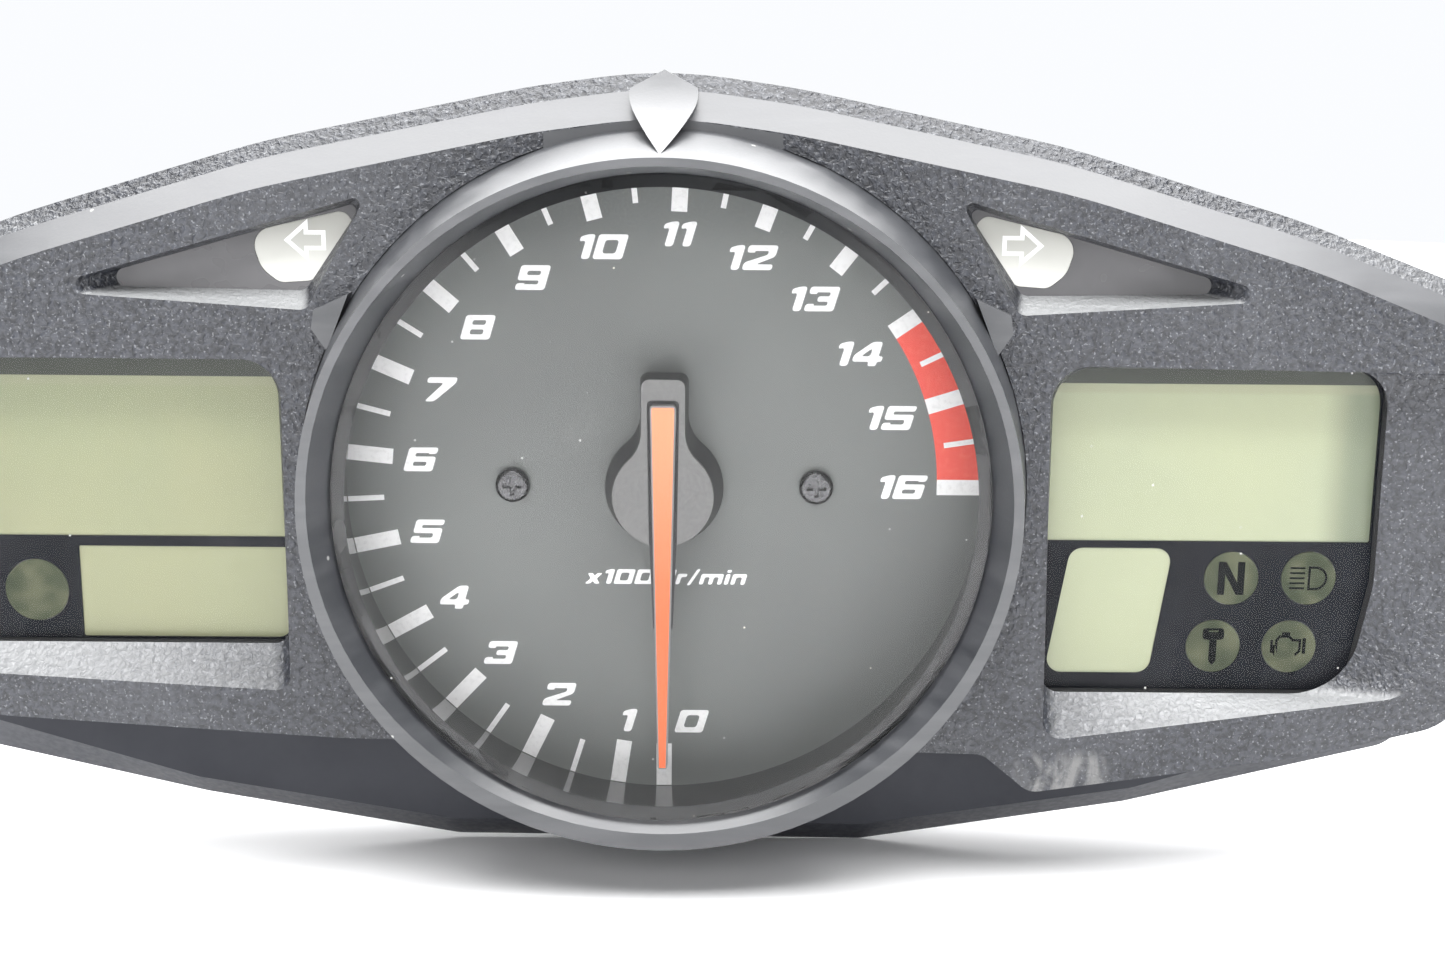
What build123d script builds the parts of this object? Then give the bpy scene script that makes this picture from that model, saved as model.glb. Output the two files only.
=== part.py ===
"""Motorcycle instrument cluster: tachometer dial in a hooded ring, two LCD displays, turn lamps.

Millimetres, +Z up. The dial faces -Y. The origin lies on the tachometer's axis, in the plane of the
three rear mounting faces. Heights called w are measured from the dial's face towards the rider.
"""
from build123d import *
from math import atan, cos, degrees, radians, sin
import os

os.makedirs("parts", exist_ok=True)

# ---------------------------------------------------------------- driving dimensions
DIAL_DEPTH = 40.0          # dial face in front of the mounting plane
FACE_W = 8.0               # textured bezel face
RIM_W = 1.0                # outermost edge of the bezel
STEP_W = 3.0               # step between the textured rim and the smooth band
LEDGE_W = 1.5              # ledge in the bezel that carries the smooth band
PART_W = -2.0              # parting plane of bezel and rear case
WALL = 2.2                 # moulded wall
HALF_WIDTH = 118.0         # half the overall width

DIAL_R = 43.8              # dial plate
SHROUD_FOOT_R = 42.65      # visible edge of the dial
SHROUD_LIP_R = 40.4        # inner edge of the shroud, at the lens
LENS_W = 13.5              # seat of the tachometer lens
LENS_R = 41.9
RING_BASE_R = 48.6         # the ring's outer cone at the dial's height
RING_DRAFT = 0.17          # radius lost for each millimetre forward
RING_BORE_R = 44.1
RING_BACK_W = -1.0
LIP_TOP_W = 24.4           # hood lip at twelve o'clock
LIP_LOW_W = 14.6           # hood lip at six o'clock
LIP_MOUTH_R = 44.0         # inner edge of the lip

SCREW_X = 20.3             # dial screws, each side of the axis
SPINDLE_R = 0.75
BUSH_BORE_R = 0.78         # running fit on the spindle
HUB_W = 1.5                # underside of the pointer's hub
HUB_TOP_W = 7.6
BLADE_W = 6.8              # underside of the pointer's blade
BLADE_T = 1.5

DISPLAY_LENS_W = 2.4       # rear face of the clear display windows
DISPLAY_LENS_T = 1.2
LENS_TOP_W = DISPLAY_LENS_W + DISPLAY_LENS_T
MASK_W = 1.3               # rear face of the printed display masks
CELL_W = -0.9              # rear face of the LCD cells
BACKLIGHT_W = -3.2
CHASSIS_W = -6.2
CHASSIS_T = 2.0
BOARD_W = -9.8             # rear face of the circuit board
BOARD_T = 1.6
BACK_W = -22.0             # rear face of the case's wings
DRUM_W = -30.0             # rear face of the case's centre

BUTTON_X = -102.0
BUTTON_Z = (6.0, -8.0)     # select, adjust
BUTTON_R = 4.0
BUTTON_TRAVEL = 1.0

MOUNT_R = 40.0             # rear mounting points from the axis
MOUNT_ANGLES = (30, 150, 270)
THREAD_R = 2.5             # minor radius of the M6 thread
POST_R = 8.6


# ---------------------------------------------------------------- helpers
def front(w):
    """Plane parallel to the dial at height w, seen from the rider's side."""
    return Plane.XZ.offset(DIAL_DEPTH + w)


def ring_radius(w):
    """Outer radius of the hooded ring at height w."""
    return RING_BASE_R - RING_DRAFT * w


def rounded(outline, radii):
    """Closed polygon with rounded corners, one radius for all or one for each."""
    if radii:
        FilletPolyline(*outline, radius=radii, close=True)
    else:
        Polyline(*outline, close=True)


def block(outline, low, high, radii=0, grow=0.0, mode=Mode.ADD):
    """Prism over a rounded polygon between two heights, its outline grown by grow."""
    with BuildSketch(front(low)) as base:
        with BuildLine():
            rounded(outline, radii)
        make_face()
        if grow:
            offset(amount=grow, mode=Mode.REPLACE)
    extrude(base.sketch, amount=high - low, mode=mode)


def disc(centre, radius, low, high, mode=Mode.ADD):
    """Cylinder parallel to the tachometer's axis between two heights."""
    with BuildSketch(front(low)) as base:
        with Locations(centre):
            Circle(radius)
    extrude(base.sketch, amount=high - low, mode=mode)


def taper(sections, radii, grow=0.0, mode=Mode.ADD):
    """Ruled body through (w, outline) sections that have the same number of corners."""
    faces = []
    for w, outline in sections:
        with BuildSketch(front(w)) as section:
            with BuildLine():
                rounded(outline, radii)
            make_face()
            if grow:
                offset(amount=grow, mode=Mode.REPLACE)
        faces.append(section.sketch.faces()[0])
    loft(faces, ruled=True, mode=mode)


def turned(profile, mode=Mode.ADD):
    """Body of revolution about the tachometer's axis from (radius, w) points."""
    with BuildSketch(Plane.YZ) as half:
        with BuildLine():
            Polyline(*[(-(DIAL_DEPTH + w), r) for r, w in profile], close=True)
        make_face()
    revolve(half.sketch, axis=Axis.Y, mode=mode)


def mirrored(outline):
    """The same outline on the other side of the axis, still running the same way round."""
    return [(-x, z) for x, z in reversed(outline)]


def rectangle(x_low, x_high, z_low, z_high):
    """Corners of an upright rectangle."""
    return [(x_low, z_high), (x_high, z_high), (x_high, z_low), (x_low, z_low)]


def save(builder, name):
    """Label a finished sub-part and write its STEP file."""
    builder.part.label = name
    export_step(builder.part, f"parts/{name}.step")


# ---------------------------------------------------------------- outlines
CROWN_PEAK = 54.6
CROWN = [(17, 52.3), (52, 45.1), (83, 35.8)]
SHOULDER_Z = 23.6


def bezel_outline(drop, inset):
    """Bezel edge, clockwise from the right of the peak. The top edge lies drop lower, and the
    ends and the lower edge lie inset further in."""
    top = [(x, z - drop) for x, z in CROWN]
    end = HALF_WIDTH - inset
    right = [
        (end - 3, SHOULDER_Z - drop),
        (end, -2),
        (end - 4, -22 + inset / 2),
        (104 - inset / 2, -32 + inset),
        (86, -36.2 + inset),
        (50 - inset / 2, -41.6 + inset),
        (43.5 - inset / 2, -36.2 + inset),
    ]
    left = [
        (-43, -34.6 + inset),
        (-88, -31.8 + inset),
        (-107 + inset / 2, -29 + inset),
        (-end + 3, -16),
        (-end + 3, SHOULDER_Z - drop),
    ]
    return top + right + left + mirrored(top) + [(0, CROWN_PEAK - drop)]


BEZEL_RADII = [100, 120, 120, 8, 60, 14, 8, 60, 3, 3, 20, 60, 8, 14, 8, 120, 120, 100, 60]
RIM = bezel_outline(0.0, 0.0)
STEP = bezel_outline(2.1, 0.5)
FACE = bezel_outline(5.7, 1.4)

LEFT_SEAT = [(-93.6, 17.2), (-50.5, 17.2), (-50.3, -21.4), (-93.6, -21.4)]
LEFT_MOUTH = [(-95.0, 17.8), (-49.1, 17.8), (-49.4, -26.8), (-95.0, -24.2)]
LEFT_RADII = [5, 5, 2, 3]
RIGHT_SEAT = [(51.0, 16.9), (94.8, 16.9), (94.9, -12.0), (92.2, -27.4), (51.0, -27.4)]
RIGHT_MOUTH = [(49.8, 17.8), (112.0, 17.0), (111.0, -14.0), (99.0, -26.4), (50.8, -33.0)]
RIGHT_RADII = [5, 5, 12, 9, 2.5]
TURN_SEAT = [(38.4, 37.7), (77.4, 26.7), (46.4, 26.5)]
TURN_MOUTH = [(37.3, 38.9), (80.4, 26.4), (45.4, 24.1)]
TURN_RADII = [0.8, 1.2, 1.6]
TURN_PATCH = [(41.0, 36.6), (53.4, 33.7), (51.9, 29.0), (49.6, 27.2), (45.3, 27.5), (39.8, 35.0)]

SPEED_WINDOW = rectangle(-93.4, -50.5, -7.2, 17.0)
TRIP_WINDOW = rectangle(-78.6, -50.5, -21.2, -8.6)
LEFT_LAMP = (-84.6, -14.8)
TEMP_WINDOW = rectangle(51.2, 94.6, -6.8, 16.7)
CLOCK_WINDOW = [(54.6, -7.8), (68.4, -7.8), (65.9, -25.3), (51.7, -25.3)]
RIGHT_LAMPS = [(76.4, -11.9), (86.8, -11.8), (74.5, -21.4), (84.8, -21.4)]
LAMP_R = 3.7
LEFT_LAMP_R = 4.3

# ---------------------------------------------------------------- ring trim: hood, brow and band
LIP_RISE = (LIP_TOP_W - LIP_LOW_W) / (ring_radius(LIP_TOP_W) + ring_radius(LIP_LOW_W))
LIP_MID_W = LIP_LOW_W + LIP_RISE * ring_radius(LIP_LOW_W)
LIP_PLANE = front(LIP_MID_W).rotated((degrees(atan(LIP_RISE)), 0, 0))
WEB = [(-15, 46.7), (0, 48.8), (15, 46.7), (15, 43.0), (-15, 43.0)]
KITE_SIDE = [(4.3, 52.2), (4.15, 50.4), (3.1, 48.5), (1.5, 46.4), (0, 44.7)]
KITE_FRONT = [(54.6, 2.2), (51.0, 6.6), (47.6, 13.6), (44.2, 24.3)]     # (z, w)

with BuildPart() as kite:
    # shield-shaped nose that joins the rim's peak to the hood's lip
    with BuildSketch(front(LEDGE_W)) as shield:
        with BuildLine():
            Polyline(mirrored(KITE_SIDE)[-1], (0, CROWN_PEAK - 0.1), KITE_SIDE[0])
            Spline(*KITE_SIDE)
            Spline(*mirrored(KITE_SIDE))
        make_face()
    extrude(shield.sketch, amount=LIP_TOP_W - LEDGE_W)
    with BuildSketch(Plane.YZ.offset(-6)) as side:
        with BuildLine():
            slope = [(-(DIAL_DEPTH + w), z) for z, w in KITE_FRONT]
            Spline(*slope)
            Polyline(slope[-1], (-DIAL_DEPTH, 43.6), (-DIAL_DEPTH, CROWN_PEAK), slope[0])
        make_face()
    extrude(side.sketch, amount=12, mode=Mode.INTERSECT)

with BuildPart() as band:
    # smooth slope between the textured rim and the textured face, along the top only
    block(STEP, LEDGE_W, STEP_W, BEZEL_RADII)
    taper([(STEP_W, STEP), (FACE_W, FACE)], BEZEL_RADII)
    block(FACE, LEDGE_W - 1, FACE_W + 1, BEZEL_RADII, mode=Mode.SUBTRACT)
    block(rectangle(-130, 130, -60, 20.5), LEDGE_W - 1, FACE_W + 1, mode=Mode.SUBTRACT)

with BuildPart() as ring_trim:
    turned([
        (RING_BORE_R, RING_BACK_W),
        (ring_radius(RING_BACK_W), RING_BACK_W),
        (ring_radius(LIP_TOP_W + 1), LIP_TOP_W + 1),
        (LENS_R + 0.2, LIP_TOP_W + 1),
        (LENS_R + 0.2, LENS_W),
        (RING_BORE_R, LENS_W),
    ])
    # the lip lies in a leaning plane, highest at twelve o'clock
    with BuildSketch(LIP_PLANE) as above_lip:
        Circle(70)
    extrude(above_lip.sketch, amount=20, mode=Mode.SUBTRACT)
    # the mouth opens from the lens seat to the lip
    with BuildSketch(front(LENS_W)) as mouth_seat:
        Circle(LENS_R + 0.2)
    with BuildSketch(LIP_PLANE.offset(0.5)) as mouth_lip:
        with Locations((0, -0.3)):
            Circle(LIP_MOUTH_R + 0.1)
    loft([mouth_seat.sketch.faces()[0], mouth_lip.sketch.faces()[0]], mode=Mode.SUBTRACT)
    # web that joins the hood to the band, and the small lugs where the brow ends
    with BuildSketch(front(LEDGE_W)) as web:
        with BuildLine():
            Polyline(*WEB, close=True)
        make_face()
        Circle(RING_BORE_R + 1, mode=Mode.SUBTRACT)
    extrude(web.sketch, amount=FACE_W - LEDGE_W)
    add(band.part)
    add(kite.part)
    for side_sign in (-1, 1):
        lug = [(39.5, 26.6), (43.9, 24.6), (44.3, 22.2), (42.4, 19.4)]
        with BuildSketch(front(FACE_W - 3)) as fin:
            with BuildLine():
                Polyline(*[(side_sign * x, z) for x, z in lug], close=True)
            make_face()
        extrude(fin.sketch, amount=6.0)
save(ring_trim, "ring_trim")

# ---------------------------------------------------------------- front bezel
BOSSES = [(-56, 38.6), (56, 38.6), (-109, 18.5), (109, 16), (-45, -29.6), (58, -35)]
SHANK_R = 1.35
with BuildPart() as front_bezel:
    block(RIM, PART_W, RIM_W, BEZEL_RADII)
    taper([(RIM_W, RIM), (STEP_W, STEP)], BEZEL_RADII)
    taper([(STEP_W, STEP), (FACE_W, FACE)], BEZEL_RADII)
    block(RIM, PART_W, -0.8, BEZEL_RADII, grow=-2 * WALL, mode=Mode.SUBTRACT)
    block(FACE, -0.8, FACE_W - WALL, BEZEL_RADII, grow=-WALL, mode=Mode.SUBTRACT)
    # wells that hold the windows, and the screw bosses
    block(LEFT_MOUTH, LENS_TOP_W, FACE_W, LEFT_RADII, grow=1.6)
    block(RIGHT_MOUTH, LENS_TOP_W, FACE_W, RIGHT_RADII, grow=1.2)
    for outline in (TURN_MOUTH, mirrored(TURN_MOUTH)):
        block(outline, 4.0, FACE_W, 1.0, grow=1.4)
    for centre in BOSSES:
        disc(centre, 3.4, PART_W, 1.4)
    for z in BUTTON_Z:
        disc((BUTTON_X, z), BUTTON_R + 2.4, 5.0, FACE_W)
    # openings
    taper([(LENS_TOP_W, LEFT_SEAT), (FACE_W + 0.1, LEFT_MOUTH)], LEFT_RADII, mode=Mode.SUBTRACT)
    taper([(LENS_TOP_W, RIGHT_SEAT), (FACE_W + 0.1, RIGHT_MOUTH)], RIGHT_RADII, mode=Mode.SUBTRACT)
    taper([(3.5, TURN_SEAT), (FACE_W + 0.1, TURN_MOUTH)], TURN_RADII, mode=Mode.SUBTRACT)
    taper(
        [(3.5, mirrored(TURN_SEAT)), (FACE_W + 0.1, mirrored(TURN_MOUTH))],
        TURN_RADII[::-1],
        mode=Mode.SUBTRACT,
    )
    for z in BUTTON_Z:
        disc((BUTTON_X, z), BUTTON_R + 0.3, PART_W, FACE_W + 1, mode=Mode.SUBTRACT)
    for centre in BOSSES:
        disc(centre, SHANK_R, PART_W, 0.6, mode=Mode.SUBTRACT)
    turned(
        [
            (0, PART_W - 1),
            (ring_radius(PART_W - 1) + 0.1, PART_W - 1),
            (ring_radius(FACE_W + 2) + 0.1, FACE_W + 2),
            (0, FACE_W + 2),
        ],
        mode=Mode.SUBTRACT,
    )
    add(ring_trim.part, mode=Mode.SUBTRACT)
save(front_bezel, "front_bezel")

# ---------------------------------------------------------------- tachometer: shroud, lens, dial
with BuildPart() as dial_shroud:
    turned([
        (SHROUD_FOOT_R, 0),
        (DIAL_R, 0),
        (DIAL_R - 1.9, LENS_W - 1.2),
        (DIAL_R, LENS_W - 1.2),
        (DIAL_R, LENS_W),
        (SHROUD_LIP_R, LENS_W),
    ])
save(dial_shroud, "dial_shroud")

with BuildPart() as tach_lens:
    disc((0, 0), LENS_R, LENS_W, LENS_W + 1.0)
save(tach_lens, "tach_lens")

DIAL_SCREWS = [(-SCREW_X, 0), (SCREW_X, 0)]
with BuildPart() as dial_plate:
    disc((0, 0), DIAL_R, -1.0, 0)
    disc((0, 0), 3.2, -1.0, 0, mode=Mode.SUBTRACT)
    for centre in DIAL_SCREWS:
        disc(centre, 1.5, -1.0, 0, mode=Mode.SUBTRACT)
save(dial_plate, "dial_plate")

with BuildPart() as dial_screws:
    for centre in DIAL_SCREWS:
        disc(centre, 2.3, 0, 1.5)
    fillet(dial_screws.faces().sort_by(Axis.Y)[:2].edges(), 0.7)
    for centre in DIAL_SCREWS:
        disc(centre, 1.3, -6.0, 0)
        with BuildSketch(front(0.6)) as recess:
            with Locations(centre):
                Rectangle(2.6, 0.6)
                Rectangle(0.6, 2.6)
        extrude(recess.sketch, amount=2, mode=Mode.SUBTRACT)
save(dial_screws, "dial_screws")

with BuildPart() as dial_light_guide:
    disc((0, 0), DIAL_R, CHASSIS_W + CHASSIS_T, -1.0)
    disc((0, 0), 25.2, CHASSIS_W + CHASSIS_T, -1.0, mode=Mode.SUBTRACT)
save(dial_light_guide, "dial_light_guide")

# ---------------------------------------------------------------- pointer
HUB_WALL = 0.6             # the hub is a hollow cap, so that the blade's side is the heavier one
HUB_FOOT = (7.9, 3.2)      # radius and half the neck's width at the hub's foot
HUB_TOP = (6.6, 2.85)
NECK_END = 15.5
NECK_BLEND_R = 5.2         # the neck flows into the round cap
NECK_CORNER_R = 1.1
CAP_ROOF_W = BLADE_W - 0.7
CARRIER = [(-1.9, -4), (1.9, -4), (1.3, -18), (-1.3, -18)]
GROOVE = [(-2.1, 12.8), (2.1, 12.8), (1.8, -9), (-1.8, -9)]
BLADE = [(-1.7, 12.2), (1.7, 12.2), (0.65, -37.2), (-0.65, -37.2)]


def hub_outline(w, radius, neck_half, grow=0.0):
    """Outline of the hub's cap with its neck, at height w."""
    reach = NECK_END + grow
    half = neck_half + grow
    with BuildSketch(front(w)) as outline:
        Circle(radius + grow)
        with BuildLine():
            Polyline((-half, reach), (half, reach), (half, 0), (-half, 0), close=True)
        make_face()
        by_height = outline.vertices().sort_by(Axis.Y)
        fillet(by_height[-4:-2], NECK_BLEND_R - grow)
        fillet(outline.vertices().sort_by(Axis.Y)[-2:], NECK_CORNER_R + grow)
    return outline.sketch.faces()[0]


with BuildPart() as pointer_hub:
    loft([hub_outline(HUB_W, *HUB_FOOT), hub_outline(HUB_TOP_W, *HUB_TOP)], ruled=True)
    loft(
        [hub_outline(HUB_W, *HUB_FOOT, -HUB_WALL), hub_outline(CAP_ROOF_W, *HUB_TOP, -HUB_WALL)],
        ruled=True,
        mode=Mode.SUBTRACT,
    )
    disc((0, 0), 2.2, HUB_W, CAP_ROOF_W)
    block(CARRIER, CAP_ROOF_W, BLADE_W)
    block(GROOVE, BLADE_W, HUB_TOP_W, [0.7, 0.7, 0.1, 0.1], mode=Mode.SUBTRACT)
    disc((0, 0), SPINDLE_R, HUB_W, BLADE_W - 1.0, mode=Mode.SUBTRACT)
save(pointer_hub, "pointer_hub")

with BuildPart() as pointer_blade:
    block(BLADE, BLADE_W, BLADE_W + BLADE_T, [0.5, 0.5, 0.3, 0.3])
    chamfer(pointer_blade.faces().sort_by(Axis.Y)[0].edges(), 0.22)
save(pointer_blade, "pointer_blade")

MAGNET = (-15.5, -10.5)
with BuildPart() as pointer_spindle:
    disc((0, 0), SPINDLE_R, -21.3, BLADE_W - 1.0)
save(pointer_spindle, "pointer_spindle")

with BuildPart() as rotor_magnet:
    disc((0, 0), 7.0, *MAGNET)
    disc((0, 0), SPINDLE_R, *MAGNET, mode=Mode.SUBTRACT)
save(rotor_magnet, "rotor_magnet")

# ---------------------------------------------------------------- cross-coil movement
FLANGE_W = -3.4
BOBBIN_HALF = 9.0
BOBBIN = (-18.1, -7.9)
SPLIT_W = -13.0
BUSH_R = 1.6
COIL_T = 1.2
CHAMBER_R = 8.0
with BuildPart() as movement_frame:
    disc((0, 0), 24.5, FLANGE_W, -1.0)
    disc((0, 0), 3.3, BOBBIN[1], FLANGE_W)
    block(rectangle(-BOBBIN_HALF, BOBBIN_HALF, -BOBBIN_HALF, BOBBIN_HALF), SPLIT_W, BOBBIN[1])
    for x in (-9.6, 9.6):
        for z in (-9.6, 9.6):
            disc((x, z), 1.6, SPLIT_W, FLANGE_W)
    disc((0, 0), CHAMBER_R, SPLIT_W, BOBBIN[1] - 1.1, mode=Mode.SUBTRACT)
    disc((0, 0), BUSH_R, BOBBIN[1] - 1.1, -1.0, mode=Mode.SUBTRACT)
    for centre in DIAL_SCREWS:
        disc(centre, 1.3, FLANGE_W, -1.0, mode=Mode.SUBTRACT)
save(movement_frame, "movement_frame")

with BuildPart() as movement_bobbin:
    block(rectangle(-BOBBIN_HALF, BOBBIN_HALF, -BOBBIN_HALF, BOBBIN_HALF), BOBBIN[0], SPLIT_W)
    disc((0, 0), 3.3, -21.5, BOBBIN[0])
    disc((0, 0), CHAMBER_R, BOBBIN[0] + 1.1, SPLIT_W, mode=Mode.SUBTRACT)
    disc((0, 0), BUSH_R, -21.5, BOBBIN[0] + 1.1, mode=Mode.SUBTRACT)
save(movement_bobbin, "movement_bobbin")

for name, low, high in (("front_bush", -7.9, -2.0), ("rear_bush", -21.5, -18.3)):
    with BuildPart() as bush:
        disc((0, 0), BUSH_R, low, high)
        disc((0, 0), BUSH_BORE_R, low, high, mode=Mode.SUBTRACT)
    save(bush, name)

# each coil is wound in two halves that pass each side of the spindle
with BuildPart() as sine_coil:
    inner_z = 2 * (BOBBIN_HALF + 0.1)
    inner_y = BOBBIN[1] - BOBBIN[0] + 0.2
    middle = -(DIAL_DEPTH + (BOBBIN[0] + BOBBIN[1]) / 2)
    for x in (-7.5, 3.5):
        with BuildSketch(Plane.YZ.offset(x)) as turns:
            with Locations((middle, 0)):
                Rectangle(inner_y + 2 * COIL_T, inner_z + 2 * COIL_T)
                Rectangle(inner_y, inner_z, mode=Mode.SUBTRACT)
        extrude(turns.sketch, amount=4.0)
save(sine_coil, "sine_coil")

with BuildPart() as cosine_coil:
    inner_x = 2 * 10.6
    over_y = inner_y + 2 * COIL_T + 0.2
    for z in (-7.5, 3.5):
        with BuildSketch(Plane.XY.offset(z)) as turns:
            with Locations((0, middle)):
                Rectangle(inner_x + 2 * COIL_T, over_y + 2 * COIL_T)
                Rectangle(inner_x, over_y, mode=Mode.SUBTRACT)
        extrude(turns.sketch, amount=4.0)
save(cosine_coil, "cosine_coil")

with BuildPart() as shield_can:
    disc((0, 0), 16.0, -22.6, FLANGE_W)
    disc((0, 0), 15.2, -21.8, FLANGE_W, mode=Mode.SUBTRACT)
save(shield_can, "shield_can")

# ---------------------------------------------------------------- displays
for name, seat, radii in (
    ("left_display_lens", LEFT_SEAT, LEFT_RADII),
    ("right_display_lens", RIGHT_SEAT, RIGHT_RADII),
):
    with BuildPart() as lens:
        block(seat, DISPLAY_LENS_W, LENS_TOP_W, radii, grow=1.0)
    save(lens, name)

MASK_T = 0.2
with BuildPart() as left_display_mask:
    block(LEFT_SEAT, MASK_W, MASK_W + MASK_T, 0.5, grow=0.1)
    block(SPEED_WINDOW, MASK_W, MASK_W + MASK_T, [4.6, 4.6, 0.3, 0.3], mode=Mode.SUBTRACT)
    block(TRIP_WINDOW, MASK_W, MASK_W + MASK_T, [0.3, 0.3, 1.8, 0.3], mode=Mode.SUBTRACT)
    disc(LEFT_LAMP, LEFT_LAMP_R, MASK_W, MASK_W + MASK_T, mode=Mode.SUBTRACT)
save(left_display_mask, "left_display_mask")

with BuildPart() as right_display_mask:
    block(RIGHT_SEAT, MASK_W, MASK_W + MASK_T, 0.5, grow=0.1)
    block(TEMP_WINDOW, MASK_W, MASK_W + MASK_T, [4.6, 4.6, 0.3, 0.3], mode=Mode.SUBTRACT)
    block(CLOCK_WINDOW, MASK_W, MASK_W + MASK_T, [2, 2, 2, 2], mode=Mode.SUBTRACT)
    for centre in RIGHT_LAMPS:
        disc(centre, LAMP_R, MASK_W, MASK_W + MASK_T, mode=Mode.SUBTRACT)
save(right_display_mask, "right_display_mask")

for name, window in (
    ("speed_lcd_cell", SPEED_WINDOW),
    ("trip_lcd_cell", TRIP_WINDOW),
    ("temperature_lcd_cell", TEMP_WINDOW),
    ("clock_lcd_cell", CLOCK_WINDOW),
):
    with BuildPart() as cell:
        block(window, CELL_W, MASK_W, 0, grow=0.1)
    save(cell, name)

with BuildPart() as lamp_filters:
    disc(LEFT_LAMP, LEFT_LAMP_R - 0.05, MASK_W, MASK_W + MASK_T)
    for centre in RIGHT_LAMPS:
        disc(centre, LAMP_R - 0.05, MASK_W, MASK_W + MASK_T)
save(lamp_filters, "lamp_filters")

LAMPS = [(LEFT_LAMP, LEFT_LAMP_R)] + [(centre, LAMP_R) for centre in RIGHT_LAMPS]
TUBE_WALL = 0.9
with BuildPart() as lamp_tubes:
    for centre, radius in LAMPS:
        disc(centre, radius + TUBE_WALL, BOARD_W + BOARD_T + 0.2, MASK_W)
        disc(centre, radius, BOARD_W + BOARD_T + 0.2, MASK_W, mode=Mode.SUBTRACT)
save(lamp_tubes, "lamp_tubes")

with BuildPart() as left_backlight:
    block(rectangle(-93.2, -50.6, -7.9, 14.2), BACKLIGHT_W, CELL_W)
    block(rectangle(-79.0, -50.6, -19.2, -7.9), BACKLIGHT_W, CELL_W)
save(left_backlight, "left_backlight")

with BuildPart() as right_backlight:
    block(rectangle(51.4, 94.2, -7.0, 14.2), BACKLIGHT_W, CELL_W)
    block(rectangle(51.4, 69.0, -23.2, -7.0), BACKLIGHT_W, CELL_W)
save(right_backlight, "right_backlight")

for name, seat in (("left_display_frame", LEFT_SEAT), ("right_display_frame", RIGHT_SEAT)):
    with BuildPart() as display_frame:
        block(seat, CHASSIS_W + CHASSIS_T, MASK_W, 0.5, grow=1.2)
        block(seat, CHASSIS_W + CHASSIS_T, MASK_W, 0.5, grow=0.25, mode=Mode.SUBTRACT)
    save(display_frame, name)

ZEBRAS = [
    rectangle(-90, -54, 14.6, 16.2),
    rectangle(-77, -53, -21.2, -19.6),
    rectangle(54, 91, 14.6, 16.2),
    rectangle(53.2, 64.2, -25.2, -23.6),
]
with BuildPart() as lcd_contact_strips:
    for strip in ZEBRAS:
        block(strip, BOARD_W + BOARD_T, CELL_W)
save(lcd_contact_strips, "lcd_contact_strips")

# ---------------------------------------------------------------- turn lamps
PATCH_RADII = [1.5, 2.5, 3.5, 2.0, 1.5, 1.0]
TURN_W = 3.0
TURN_T = 1.0
TUNNEL_W = -3.2
for side_name, flip in (("left", True), ("right", False)):
    seat = mirrored(TURN_SEAT) if flip else TURN_SEAT
    patch = mirrored(TURN_PATCH) if flip else TURN_PATCH
    patch_radii = PATCH_RADII[::-1] if flip else PATCH_RADII
    with BuildPart() as turn_mask:
        block(seat, TURN_W, TURN_W + TURN_T, 0.5, grow=1.3)
        block(patch, TURN_W, TURN_W + TURN_T, patch_radii, mode=Mode.SUBTRACT)
        add(ring_trim.part, mode=Mode.SUBTRACT)
        add(front_bezel.part, mode=Mode.SUBTRACT)
    save(turn_mask, f"{side_name}_turn_mask")
    with BuildPart() as turn_diffuser:
        block(patch, TURN_W, TURN_W + TURN_T - 0.1, patch_radii, grow=-0.04)
    save(turn_diffuser, f"{side_name}_turn_diffuser")
    with BuildPart() as turn_tunnel:
        block(patch, TUNNEL_W, TURN_W, patch_radii, grow=0.5)
        block(patch, TUNNEL_W, TURN_W, patch_radii, grow=-0.6, mode=Mode.SUBTRACT)
        turned(
            [(0, -12), (ring_radius(-1) + 0.1, -12), (ring_radius(-1) + 0.1, 4), (0, 4)],
            mode=Mode.SUBTRACT,
        )
    save(turn_tunnel, f"{side_name}_turn_tunnel")

# ---------------------------------------------------------------- chassis, board and lamps
CHASSIS = [
    (-105.2, 9.8), (-95, 14), (-79, 22), (-36, 35.6), (36, 35.6), (79, 22), (95, 13), (99.5, 8.6),
    (102.2, -17), (97.4, -25), (86, -28.8), (-36.4, -28.8), (-39, -24.2), (-96, -24.2),
    (-105.2, -14),
]
BOARD = [
    (-105.2, 9.2), (-94, 12.8), (-78, 21), (-35, 34.8), (35, 34.8), (78, 21), (94, 12),
    (99.2, 8), (101.8, -17), (96.8, -24.6), (52, -28.6), (-36.4, -28.6), (-39, -24), (-95, -24),
    (-105.2, -13.6),
]
BOARD_SCREWS = [(-68, 21.0), (68, 21.0), (-98, -18), (98.9, -8)]
SWITCHES = [(BUTTON_X, z) for z in BUTTON_Z]
BACKLIGHT_LEDS = [
    (32 * sin(radians(a)), 32 * cos(radians(a))) for a in range(30, 360, 60)
] + [(-72, 3), (-64, -14), (73, 4), (60, -15)]
TURN_LEDS = [(-47, 31.6), (47, 31.6)]
LED_FRONT_W = BOARD_W + BOARD_T
MOVEMENT_HOLE_R = 16.6
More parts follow.
